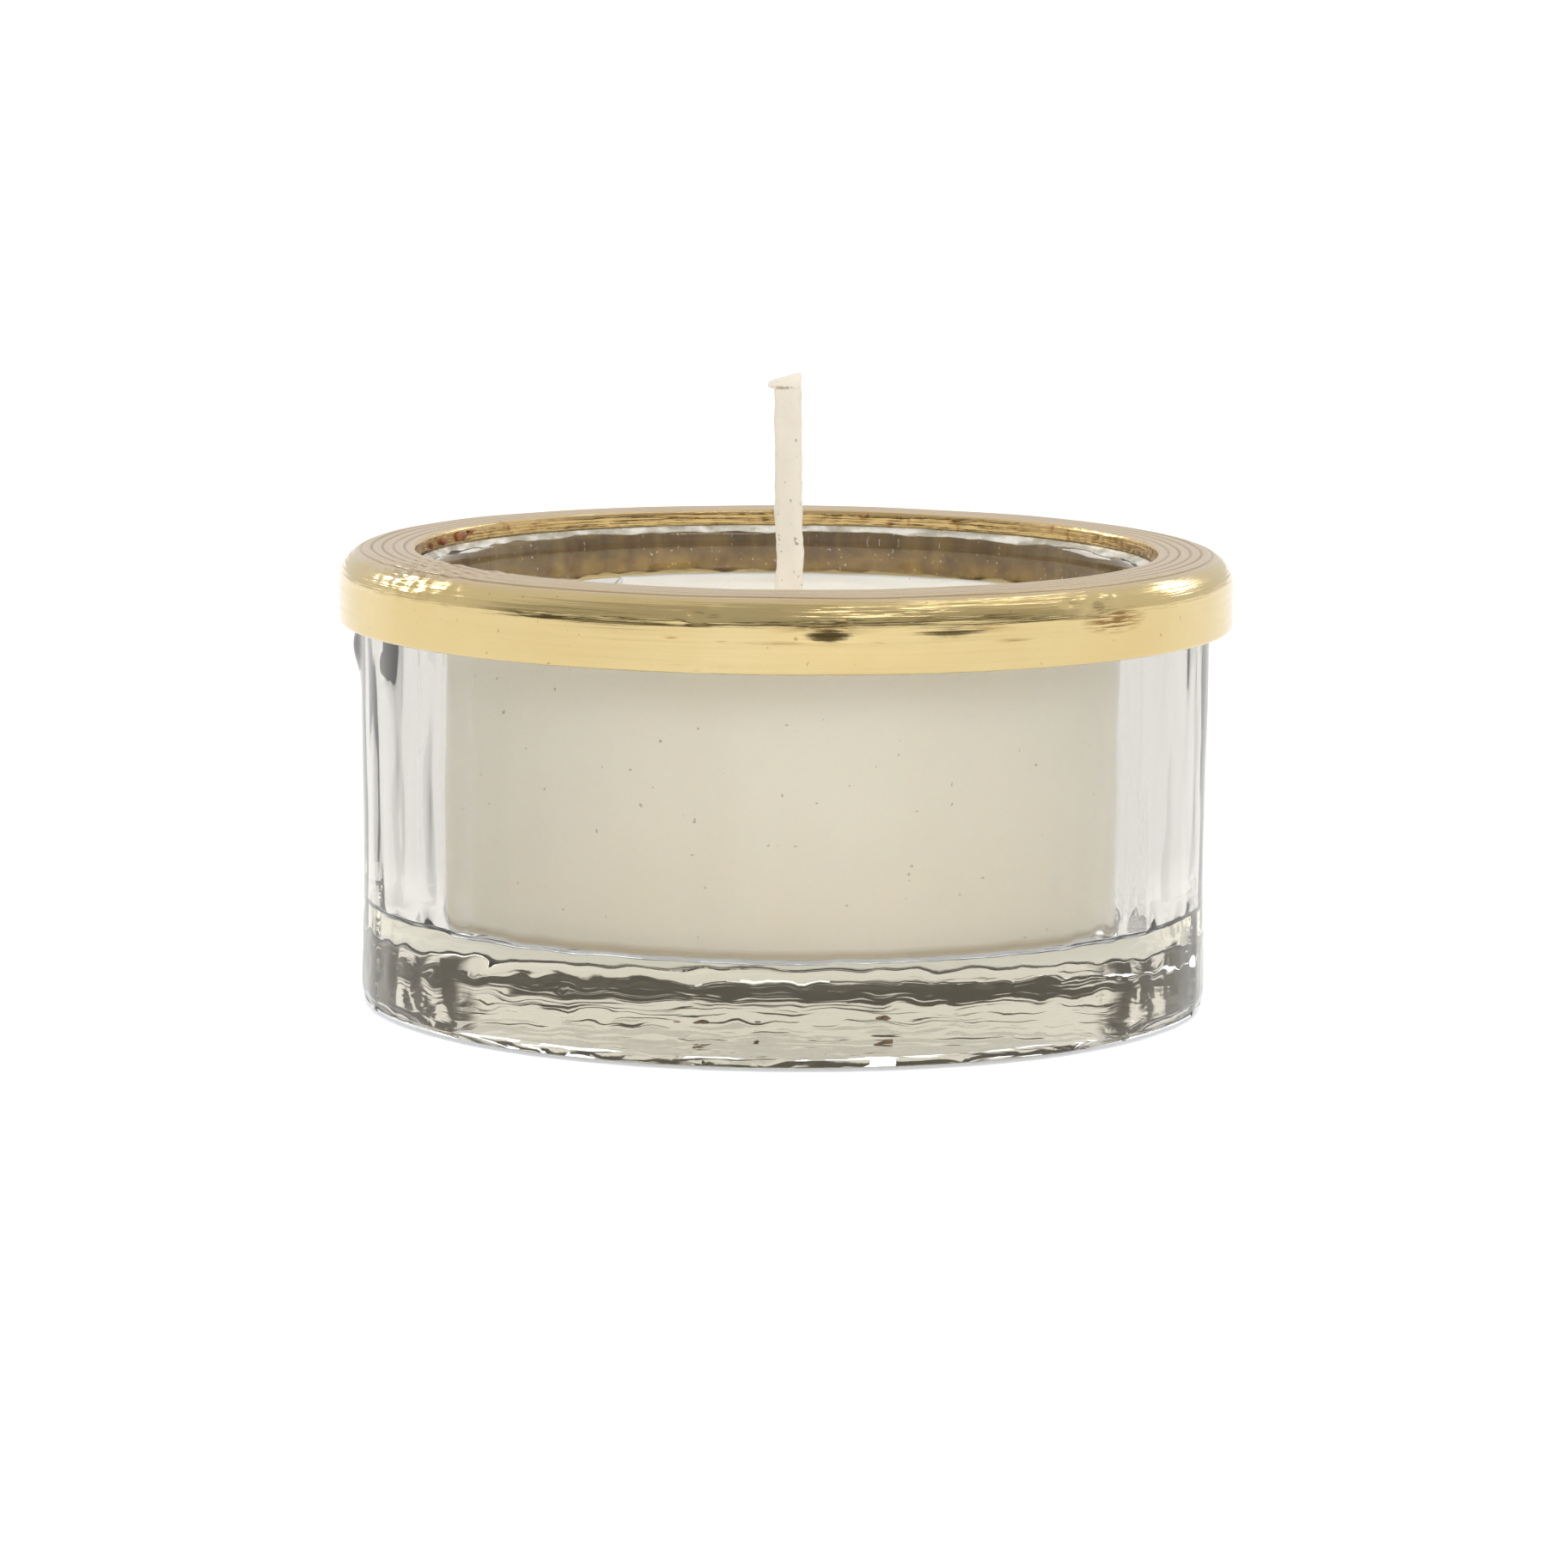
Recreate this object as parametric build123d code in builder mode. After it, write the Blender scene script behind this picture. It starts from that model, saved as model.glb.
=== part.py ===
"""Tealight holder: a thick glass cup capped by a brass rim, with a clear-cupped tealight standing in it.

Units are millimetres. The origin is the centre of the foot, on the table, and +Z is up.
"""

import os

from build123d import *

# Glass cup
glass_radius = 24.15
waist_depth = 0.2
waist_height = 8.0
foot_inner_radius = 20.5
underside_rise = 0.6
pocket_floor_height = 5.4
pocket_floor_radius = 20.1
pocket_mouth_radius = 20.35
glass_lip_height = 25.1
glass_lip_round = 1.0
heel_round = 1.1
pocket_corner_round = 1.5

# Brass rim: a channel turned from sheet, open downwards
rim_radius = 25.4
rim_top_height = 26.0
rim_skirt_length = 4.2
rim_opening_radius = 21.1
rim_sheet = 0.6
rim_shoulder_round = 1.8
rim_opening_round = 0.25

# Adhesive between the rim and the glass
bond_setback = 0.35

# Tealight
tealight_radius = 19.25
tealight_cup_height = 17.5
tealight_cup_wall = 0.35
tealight_cup_floor = 0.4
tealight_cup_corner_round = 1.0
tealight_lip_radius = 19.6
tealight_lip_thickness = 0.35
wax_depth = 16.5
wick_width = 1.55
wick_thickness = 1.2
wick_corner_round = 0.4
wick_exposed_length = 13.7
wick_tip_height = 0.95
wick_tip_overhang = 0.4
wick_tip_slope = 0.3
wick_tip_thickness = 1.0
sustainer_radius = 6.0
sustainer_sheet = 0.25
sustainer_collar_radius = 1.35
sustainer_collar_length = 4.0
sustainer_collar_round = 0.25

# Heights worked out from the sizes above
rim_skirt_bottom = rim_top_height - rim_skirt_length
rim_underside = rim_top_height - rim_sheet
tealight_lip_top = pocket_floor_height + tealight_cup_height
tealight_lip_bottom = tealight_lip_top - tealight_lip_thickness
wax_bottom = pocket_floor_height + tealight_cup_floor
wax_top = wax_bottom + wax_depth
wax_radius = tealight_radius - tealight_cup_wall
wick_top = wax_top + wick_exposed_length
wick_neck = wick_top - wick_tip_height


def rings(part, height):
    """The part's circular edges that lie at one height."""
    return part.edges().filter_by(GeomType.CIRCLE).filter_by_position(Axis.Z, height, height)


# Thick moulded glass with a slight waist, a dished underside and a flat pocket floor
with BuildPart() as glass_cup:
    with BuildSketch(Plane.XZ):
        with BuildLine():
            underside = TangentArc((0, underside_rise), (foot_inner_radius, 0), tangent=(1, 0))
            foot = Line(underside @ 1, (glass_radius, 0))
            waist_middle = (glass_radius - waist_depth, waist_height)
            waist = ThreePointArc(foot @ 1, waist_middle, (glass_radius, 2 * waist_height))
            Polyline(
                waist @ 1,
                (glass_radius, glass_lip_height),
                (pocket_mouth_radius, glass_lip_height),
                (pocket_floor_radius, pocket_floor_height),
                (0, pocket_floor_height),
                underside @ 0,
            )
        make_face()
    revolve(axis=Axis.Z)
    fillet(rings(glass_cup, glass_lip_height), glass_lip_round)
    fillet(rings(glass_cup, 0).sort_by(SortBy.RADIUS)[-1], heel_round)
    fillet(rings(glass_cup, pocket_floor_height), pocket_corner_round)

# Flat-topped channel: outer skirt, rounded shoulder and a short inner lip that sits on the glass
with BuildPart() as brass_rim:
    with BuildSketch(Plane.XZ):
        with BuildLine():
            Polyline(
                (rim_radius, rim_skirt_bottom),
                (rim_radius, rim_top_height),
                (rim_opening_radius, rim_top_height),
                (rim_opening_radius, glass_lip_height),
                (rim_opening_radius + rim_sheet, glass_lip_height),
                (rim_opening_radius + rim_sheet, rim_underside),
                (rim_radius - rim_sheet, rim_underside),
                (rim_radius - rim_sheet, rim_skirt_bottom),
                close=True,
            )
        make_face()
    revolve(axis=Axis.Z)
    top_rings = rings(brass_rim, rim_top_height).sort_by(SortBy.RADIUS)
    fillet(top_rings[0], rim_opening_round)
    fillet(top_rings[-1], rim_shoulder_round)
    shoulder_underside = rings(brass_rim, rim_underside).sort_by(SortBy.RADIUS)[-1]
    fillet(shoulder_underside, rim_shoulder_round - rim_sheet)

# Adhesive that fills the channel around the glass lip, stopping short of the skirt's edge
with BuildPart() as rim_bond:
    with BuildSketch(Plane.XZ):
        with BuildLine():
            Polyline(
                (rim_opening_radius + rim_sheet, rim_skirt_bottom + bond_setback),
                (rim_radius - rim_sheet, rim_skirt_bottom + bond_setback),
                (rim_radius - rim_sheet, rim_underside),
                (rim_opening_radius + rim_sheet, rim_underside),
                close=True,
            )
        make_face()
    revolve(axis=Axis.Z)
    bond_shoulder = rings(rim_bond, rim_underside).sort_by(SortBy.RADIUS)[-1]
    fillet(bond_shoulder, rim_shoulder_round - rim_sheet)
    add(glass_cup.part, mode=Mode.SUBTRACT)

# Thin clear cup of the tealight, standing on the pocket floor with air all round it
with BuildPart() as tealight_cup:
    with BuildSketch(Plane.XZ):
        with BuildLine():
            Polyline(
                (0, pocket_floor_height),
                (tealight_radius, pocket_floor_height),
                (tealight_radius, tealight_lip_bottom),
                (tealight_lip_radius, tealight_lip_bottom),
                (tealight_lip_radius, tealight_lip_top),
                (wax_radius, tealight_lip_top),
                (wax_radius, wax_bottom),
                (0, wax_bottom),
                close=True,
            )
        make_face()
    revolve(axis=Axis.Z)
    fillet(rings(tealight_cup, pocket_floor_height), tealight_cup_corner_round)
    fillet(rings(tealight_cup, wax_bottom), tealight_cup_corner_round - tealight_cup_wall)

# Thick braided wick with a pinched, slanting tip that overhangs on one side
with BuildPart() as wick:
    with BuildSketch(Plane.XY.offset(wax_bottom)):
        RectangleRounded(wick_width, wick_thickness, wick_corner_round)
    extrude(amount=wick_neck - wax_bottom)
    with BuildSketch(Plane.XZ):
        with BuildLine():
            Polyline(
                (wick_width / 2, wick_neck),
                (wick_width / 2, wick_top),
                (-wick_width / 2, wick_top - wick_tip_slope / 2),
                (-wick_width / 2 - wick_tip_overhang, wick_top - wick_tip_slope),
                (-wick_width / 2 - wick_tip_overhang, wick_neck + wick_tip_slope / 2),
                (-wick_width / 2, wick_neck),
                close=True,
            )
        make_face()
    extrude(amount=wick_tip_thickness / 2, both=True)

# Small metal disc with a crimped collar that holds the wick upright on the cup's floor
with BuildPart() as wick_sustainer:
    with BuildSketch(Plane.XY.offset(wax_bottom)):
        Circle(sustainer_radius)
    extrude(amount=sustainer_sheet)
    with BuildSketch(Plane.XY.offset(wax_bottom + sustainer_sheet)):
        Circle(sustainer_collar_radius)
    extrude(amount=sustainer_collar_length)
    collar_top = wax_bottom + sustainer_sheet + sustainer_collar_length
    fillet(rings(wick_sustainer, collar_top), sustainer_collar_round)
    add(wick.part, mode=Mode.SUBTRACT)

# Poured wax that fills the clear cup around the wick and its sustainer
with BuildPart() as wax:
    with BuildSketch(Plane.XY.offset(wax_bottom)):
        Circle(wax_radius)
    extrude(amount=wax_depth)
    fillet(rings(wax, wax_bottom), tealight_cup_corner_round - tealight_cup_wall)
    add(wick.part, mode=Mode.SUBTRACT)
    add(wick_sustainer.part, mode=Mode.SUBTRACT)

# One file for each piece
pieces = {
    "glass_cup": glass_cup,
    "brass_rim": brass_rim,
    "rim_bond": rim_bond,
    "tealight_cup": tealight_cup,
    "wax": wax,
    "wick": wick,
    "wick_sustainer": wick_sustainer,
}
os.makedirs("parts", exist_ok=True)
for name, piece in pieces.items():
    piece.part.label = name
    export_step(piece.part, f"parts/{name}.step")
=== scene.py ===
"""Looks of the tealight holder: wavy moulded glass, a crimped brass rim and the tealight that lifts out.

Everything is in metres in the part's own frame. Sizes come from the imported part; the named values below
are the small irregularities that the plain part does not carry, written in millimetres and scaled by MM.
"""

import math

import bmesh
import bpy
import numpy as np
from mathutils import Matrix, Vector, noise


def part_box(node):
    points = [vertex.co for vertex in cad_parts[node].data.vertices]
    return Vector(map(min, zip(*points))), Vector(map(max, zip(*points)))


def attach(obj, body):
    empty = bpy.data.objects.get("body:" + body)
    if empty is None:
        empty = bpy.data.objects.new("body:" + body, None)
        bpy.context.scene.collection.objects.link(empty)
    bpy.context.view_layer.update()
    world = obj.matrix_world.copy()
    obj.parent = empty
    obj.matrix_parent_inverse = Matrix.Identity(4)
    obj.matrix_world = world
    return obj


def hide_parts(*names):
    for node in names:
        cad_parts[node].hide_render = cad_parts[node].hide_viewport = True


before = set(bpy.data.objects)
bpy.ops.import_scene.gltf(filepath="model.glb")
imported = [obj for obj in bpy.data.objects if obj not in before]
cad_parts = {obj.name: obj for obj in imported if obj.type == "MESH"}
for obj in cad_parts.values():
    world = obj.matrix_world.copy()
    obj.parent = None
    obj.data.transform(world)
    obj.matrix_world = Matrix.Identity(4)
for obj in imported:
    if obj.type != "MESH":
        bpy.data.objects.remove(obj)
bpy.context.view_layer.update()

MM = 0.001

# Directions round the vertical axis
LEFT = math.pi
FRONT = -math.pi / 2
BACK = math.pi / 2

# Sizes that the nodes' boxes don't give
POCKET_MOUTH = 20.35 * MM
GLASS_LIP_ROUND = 1.0 * MM
RIM_WIDTH = 4.3 * MM
RIM_SHEET = 0.6 * MM
RIB_PITCH = 0.62 * MM
CUP_WALL = 0.35 * MM
WICK_WIDTH = 1.55 * MM
WICK_TIP = 0.95 * MM
WICK_SIDES = 40

# Dimples and humps of the underside: x, y, reach and height in millimetres
PITS = (
    (-3.8, -10.2, 0.9, 0.09),
    (-0.6, -9.4, 0.7, -0.07),
    (2.2, -10.6, 0.6, 0.09),
    (4.4, -8.6, 0.8, 0.07),
    (-6.5, -8.0, 1.1, -0.055),
    (8.5, -9.0, 1.0, 0.055),
)

# Specks in the glass and crumbs of glue on the rim: x, y, height and length in millimetres
STONES = (
    (4.3, -7.6, 1.05, 0.95),
    (-3.6, -9.6, 0.95, 0.6),
    (-4.9, -10.2, 1.0, 0.35),
    (-1.0, -8.8, 0.95, 0.3),
)
CRUMBS = (
    (-19.0, 9.0, 25.55, 0.75),
    (-19.9, 7.0, 25.4, 0.55),
    (-20.5, 5.1, 25.35, 0.45),
    (-18.4, 10.1, 25.7, 0.3),
)

# Brown scratches on the rim: degrees from the front, then depth below the crown, length and width in
# millimetres
SCRATCHES = (
    (-1.5, 2.45, 2.3, 0.13),
    (-7.5, 2.4, 0.5, 0.13),
    (29, 2.55, 1.3, 0.13),
    (11, 2.5, 0.6, 0.13),
    (5, 1.72, 3.4, 0.42),
    (25, 1.85, 2.4, 0.24),
    (-14, 2.3, 0.5, 0.10),
)

# Dents and humps of the rim: radians from the front, depth below the crown in millimetres, half width in
# radians, half height in millimetres, and how far they stand out in millimetres
DENTS = (
    (-0.190, 1.05, 0.022, 0.30, -0.16),
    (-0.155, 0.85, 0.020, 0.22, 0.07),
    (-0.225, 1.15, 0.022, 0.25, 0.07),
    (-0.190, 4.2, 0.018, 0.25, -0.18),
    (0.09, 1.58, 0.045, 0.50, -0.085),
    (0.36, 1.58, 0.09, 0.45, -0.070),
    (0.45, 0.95, 0.12, 0.22, 0.04),
    (-0.40, 1.5, 0.16, 0.25, -0.03),
    (0.72, 1.1, 0.03, 0.3, -0.10),
    (0.78, 0.7, 0.02, 0.3, 0.07),
    (0.66, 0.8, 0.02, 0.2, -0.09),
)


def top(node):
    """Height of a node's highest point."""
    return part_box(node)[1].z


def bottom(node):
    """Height of a node's lowest point."""
    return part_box(node)[0].z


def radius(node):
    """Outer radius of a round node."""
    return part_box(node)[1].x


def rim_opening():
    """Radius of the hole in the brass rim's top."""
    return radius("brass_rim") - RIM_WIDTH


# ---------------------------------------------------------------- shapes


def arc(centre, r, start, end, steps):
    """Points on an arc in the radius-height plane, angles in degrees."""
    angles = np.radians(np.linspace(start, end, steps))
    return np.column_stack([centre[0] + r * np.cos(angles), centre[1] + r * np.sin(angles)])


def straight(start, end, spacing):
    """Points from start to end, without either, at about the given spacing."""
    start = np.array(start, float)
    end = np.array(end, float)
    count = max(2, int(round(np.linalg.norm(end - start) / spacing)))
    t = np.arange(1, count)[:, None] / count
    return start + t * (end - start)


def outward(outline, closed):
    """Unit normals of an outline that runs anticlockwise in the radius-height plane."""
    if closed:
        along = np.roll(outline, -1, 0) - np.roll(outline, 1, 0)
    else:
        along = np.gradient(outline, axis=0)
    normal = np.column_stack([along[:, 1], -along[:, 0]])
    return normal / np.linalg.norm(normal, axis=1)[:, None]


def lathe(name, outline, turns, relief=None, closed=False):
    """A revolved mesh that stays above the table. An open outline starts and ends on the axis.

    relief gets each point's radius, height and angle and its normal's outward and upward parts, and returns
    how far the point moves along that normal.
    """
    normals = outward(outline, closed)
    if not closed:
        normals[0] = (0, math.copysign(1, normals[0][1]))
        normals[-1] = (0, math.copysign(1, normals[-1][1]))
    body = slice(None) if closed else slice(1, -1)
    ring = outline[body]
    ring_normals = normals[body]
    angles = 2 * math.pi * np.arange(turns) / turns
    r = np.repeat(ring[None, :, 0], turns, 0)
    z = np.repeat(ring[None, :, 1], turns, 0)
    a = np.repeat(angles[:, None], len(ring), 1)
    if relief is not None:
        out = np.repeat(ring_normals[None, :, 0], turns, 0)
        up = np.repeat(ring_normals[None, :, 1], turns, 0)
        push = relief(r, z, a, out, up)
        r = r + push * out
        z = np.maximum(z + push * up, 0)
    points = np.stack([r * np.cos(a), r * np.sin(a), z], -1).reshape(-1, 3)
    count = len(ring)
    mesh = bmesh.new()
    verts = [mesh.verts.new(p) for p in points]
    last = count if closed else count - 1
    for i in range(turns):
        j = (i + 1) % turns
        for k in range(last):
            m = (k + 1) % count
            corners = (i * count + k, j * count + k, j * count + m, i * count + m)
            mesh.faces.new([verts[corner] for corner in corners])
    if not closed:
        for row, tip in ((0, outline[0]), (count - 1, outline[-1])):
            pole = mesh.verts.new((0, 0, tip[1]))
            for i in range(turns):
                j = (i + 1) % turns
                mesh.faces.new((pole, verts[i * count + row], verts[j * count + row]))
    return finished(name, mesh)


def bridge(mesh, rings, closed):
    """Faces between neighbouring rings of vertices; closed also joins the last ring to the first."""
    following = rings[1:] + rings[:1] if closed else rings[1:]
    for ring, beside in zip(rings, following):
        for k in range(len(ring)):
            m = (k + 1) % len(ring)
            mesh.faces.new((ring[k], ring[m], beside[m], beside[k]))


def finished(name, mesh):
    """Links a bmesh as a smooth-shaded object."""
    bmesh.ops.recalc_face_normals(mesh, faces=mesh.faces)
    data = bpy.data.meshes.new(name)
    mesh.to_mesh(data)
    mesh.free()
    data.polygons.foreach_set("use_smooth", [True] * len(data.polygons))
    piece = bpy.data.objects.new(name, data)
    bpy.context.scene.collection.objects.link(piece)
    return piece


def rough(points, scale, seed, detail=0):
    """Smooth noise at each point, about -1 to 1. Its lumps are about scale across; detail adds octaves."""
    flat = points.reshape(-1, 3) / scale + seed
    if detail:
        values = [noise.fractal(Vector(p), 1.0, 2.0, detail + 1) for p in flat]
    else:
        values = [noise.noise(Vector(p)) for p in flat]
    return np.array(values).reshape(points.shape[:-1])


def around(r, z, a, stretch=1.0):
    """Points in space for noise on a revolved surface; above 1, stretch draws the noise out vertically."""
    return np.stack([r * np.cos(a), r * np.sin(a), z / stretch], -1)


def bump_at(a, z, angle, height, width_angle, width_height):
    """A rounded hump, 1 at its middle, on a revolved surface."""
    turn = np.angle(np.exp(1j * (a - angle)))
    return np.exp(-((turn / width_angle) ** 2) - ((z - height) / width_height) ** 2)


def step(value, low, high):
    """0 below low, 1 above high, smooth between."""
    t = np.clip((value - low) / (high - low), 0, 1)
    return t * t * (3 - 2 * t)


# ---------------------------------------------------------------- materials


class Nodes:
    """The node tree of a new material, or of a new world, with short calls for the nodes used here."""

    def __init__(self, name, world=False):
        self.owner = (bpy.data.worlds if world else bpy.data.materials).new(name)
        self.owner.use_nodes = True
        self.tree = self.owner.node_tree
        self.tree.nodes.clear()
        self.output = self.add("ShaderNodeOutputWorld" if world else "ShaderNodeOutputMaterial")
        self.place = self.add("ShaderNodeTexCoord").outputs["Generated" if world else "Object"]

    def add(self, kind, **values):
        node = self.tree.nodes.new(kind)
        for key, value in values.items():
            setattr(node, key, value)
        return node

    def link(self, source, target):
        self.tree.links.new(source, target)

    def fill(self, socket, value):
        """Links a socket to another socket, or sets its value; a colour may be a triple."""
        if isinstance(value, bpy.types.NodeSocket):
            self.link(value, socket)
        elif socket.type == "RGBA" and len(value) == 3:
            socket.default_value = (*value, 1)
        else:
            socket.default_value = value

    def set(self, node, **inputs):
        for key, value in inputs.items():
            self.fill(node.inputs[key.replace("_", " ")], value)
        return node

    def mapped(self, scale):
        node = self.add("ShaderNodeMapping")
        self.link(self.place, node.inputs["Vector"])
        node.inputs["Scale"].default_value = scale
        return node.outputs["Vector"]

    def noise(self, size, detail=2.0, stretch=(1, 1, 1), distortion=0.0):
        """Noise whose lumps are about size metres, drawn out by stretch."""
        node = self.add("ShaderNodeTexNoise")
        self.link(self.mapped([1 / (size * s) for s in stretch]), node.inputs["Vector"])
        self.set(node, Scale=1.0, Detail=detail, Distortion=distortion)
        return node.outputs["Fac"]

    def parts(self):
        """The place's x, y and z."""
        split = self.add("ShaderNodeSeparateXYZ")
        self.link(self.place, split.inputs[0])
        return split.outputs

    def reach(self):
        """Distance from the vertical axis."""
        x, y, z = self.parts()
        return self.math("SQRT", self.math("ADD", self.times(x, x), self.times(y, y)))

    def turned(self, size, stretch, detail=3.0):
        """Noise about size metres across, drawn out by stretch along circles round the vertical axis."""
        x, y, z = self.parts()
        reach = self.reach()
        turn = 24 * MM / (size * stretch)
        joined = self.add("ShaderNodeCombineXYZ")
        self.link(self.times(self.math("DIVIDE", x, reach), turn), joined.inputs[0])
        self.link(self.times(self.math("DIVIDE", y, reach), turn), joined.inputs[1])
        self.link(self.math("DIVIDE", reach, size), joined.inputs[2])
        node = self.add("ShaderNodeTexNoise", noise_dimensions="4D")
        self.link(joined.outputs[0], node.inputs["Vector"])
        self.link(self.math("DIVIDE", z, size), node.inputs["W"])
        self.set(node, Scale=1.0, Detail=detail)
        return node.outputs["Fac"]

    def height(self, low, high):
        """0 at one height and 1 at the other, in metres, and level beyond both."""
        return self.range(self.parts()[2], low, high)

    def patch(self, centre, size):
        """1 at a point, falling to 0 at the given distances along x, y and z."""
        shift = self.add("ShaderNodeVectorMath", operation="SUBTRACT")
        self.link(self.place, shift.inputs[0])
        shift.inputs[1].default_value = centre
        scale = self.add("ShaderNodeVectorMath", operation="DIVIDE")
        self.link(shift.outputs[0], scale.inputs[0])
        scale.inputs[1].default_value = size
        span = self.add("ShaderNodeVectorMath", operation="LENGTH")
        self.link(scale.outputs[0], span.inputs[0])
        return self.range(span.outputs["Value"], 1.0, 0.2)

    def range(self, value, low, high, to_low=0.0, to_high=1.0, smooth=False):
        """The value carried from one range to another, and level beyond its ends."""
        kind = "SMOOTHSTEP" if smooth else "LINEAR"
        node = self.add("ShaderNodeMapRange", interpolation_type=kind)
        self.link(value, node.inputs["Value"])
        node.inputs["From Min"].default_value = low
        node.inputs["From Max"].default_value = high
        node.inputs["To Min"].default_value = to_low
        node.inputs["To Max"].default_value = to_high
        return node.outputs["Result"]

    def math(self, operation, a, b=None):
        node = self.add("ShaderNodeMath", operation=operation)
        self.fill(node.inputs[0], a)
        if b is not None:
            self.fill(node.inputs[1], b)
        return node.outputs[0]

    def times(self, a, b):
        return self.math("MULTIPLY", a, b)

    def blend(self, fac, a, b):
        """Mixes two colours, each a socket or a triple."""
        node = self.add("ShaderNodeMix", data_type="RGBA")
        for index, value in ((0, fac), (6, a), (7, b)):
            self.fill(node.inputs[index], value)
        return node.outputs[2]

    def stain(self, tint, colour, amount, where):
        """The tint with a colour mixed in, by the given amount where the mask called where is 1."""
        return self.blend(self.times(where, amount), tint, colour)

    def bump(self, height, distance, strength=1.0, normal=None):
        node = self.add("ShaderNodeBump")
        self.link(height, node.inputs["Height"])
        self.set(node, Distance=distance, Strength=strength)
        if normal is not None:
            self.link(normal, node.inputs["Normal"])
        return node.outputs["Normal"]

    def surface(self, **inputs):
        shader = self.set(self.add("ShaderNodeBsdfPrincipled"), **inputs)
        self.link(shader.outputs[0], self.output.inputs["Surface"])


def glass_material():
    """Clear soda-lime glass with a faint warm grey body and a slightly fire-polished skin."""
    n = Nodes("moulded_glass")
    n.surface(
        Base_Color=(1.0, 1.0, 1.0),
        Roughness=n.range(n.noise(3 * MM, 3.0), 0.35, 0.8, 0.0, 0.03),
        IOR=1.52,
        Transmission_Weight=1.0,
        Normal=n.bump(n.noise(1.6 * MM, 2.0, (1, 1, 3)), 0.012 * MM, 0.5),
    )
    absorb = n.set(n.add("ShaderNodeVolumeAbsorption"), Color=(0.80, 0.785, 0.715), Density=52.0)
    n.link(absorb.outputs[0], n.output.inputs["Volume"])
    return n.owner


def plastic_material():
    """Thin clear polycarbonate with faint draw marks."""
    n = Nodes("clear_cup_plastic")
    n.surface(
        Base_Color=(1.0, 1.0, 1.0),
        Roughness=n.range(n.noise(2 * MM, 2.0), 0.4, 0.8, 0.02, 0.06),
        IOR=1.45,
        Transmission_Weight=1.0,
        Normal=n.bump(n.noise(0.8 * MM, 2.0, (1, 1, 12)), 0.004 * MM, 0.4),
    )
    return n.owner


def rim_point(angle, height):
    """A point of the rim's outer face, at degrees from the front and metres below the crown."""
    reach = radius("brass_rim")
    turn = FRONT + math.radians(angle)
    return (reach * math.cos(turn), reach * math.sin(turn), top("brass_rim") - height)


def tarnish(n, tint):
    """Grime between the ribs, and a yellower inner lip with rust."""
    crown = top("brass_rim")
    opening = rim_opening()
    reach = n.reach()
    ribs = n.math("DIVIDE", n.math("SUBTRACT", reach, opening), RIB_PITCH)
    off_groove = n.math("ABSOLUTE", n.math("SUBTRACT", ribs, n.math("ROUND", ribs)))
    grime = n.times(n.range(off_groove, 0.20, 0.05), n.height(crown - 0.35 * MM, crown - 0.12 * MM))
    tint = n.stain(tint, (0.34, 0.23, 0.12), 0.85, grime)
    inner = n.range(reach, opening + 0.25 * MM, opening + 0.05 * MM)
    tint = n.stain(tint, (0.74, 0.54, 0.26), 0.8, inner)
    rust = n.range(n.noise(0.9 * MM, 3.0), 0.62, 0.70)
    return n.stain(tint, (0.42, 0.17, 0.04), 0.7, n.times(rust, inner))


def wear_and_crease_shade(n, tint, scuff):
    """Brown spots, a scuffed patch, scratches, and painted shade along the creases of the patch of folds.
    """
    spots = n.range(n.noise(0.35 * MM, 1.0), 0.755, 0.79)
    tint = n.stain(tint, (0.30, 0.16, 0.06), 0.5, spots)
    tint = n.stain(tint, (0.29, 0.17, 0.06), 0.9, scuff)
    for angle, depth, length, width in SCRATCHES:
        mark = n.patch(rim_point(angle, depth * MM), (length * MM, 2 * MM, width * MM))
        mark = n.times(mark, n.range(n.turned(0.06 * MM, 30.0), 0.42, 0.52))
        tint = n.stain(tint, (0.36, 0.24, 0.10), 0.8, mark)
    # Painted shade: darker lines along the creases of the folds at the front left of the crown.
    painted_fold_shade = n.patch(rim_point(-57, 0.2 * MM), (5.0 * MM, 5.0 * MM, 1.6 * MM))
    creases = n.range(n.noise(0.55 * MM, 2.0, (1, 2.5, 1), 0.6), 0.50, 0.44)
    return n.stain(tint, (0.44, 0.33, 0.18), 0.7, n.times(painted_fold_shade, creases))


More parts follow.
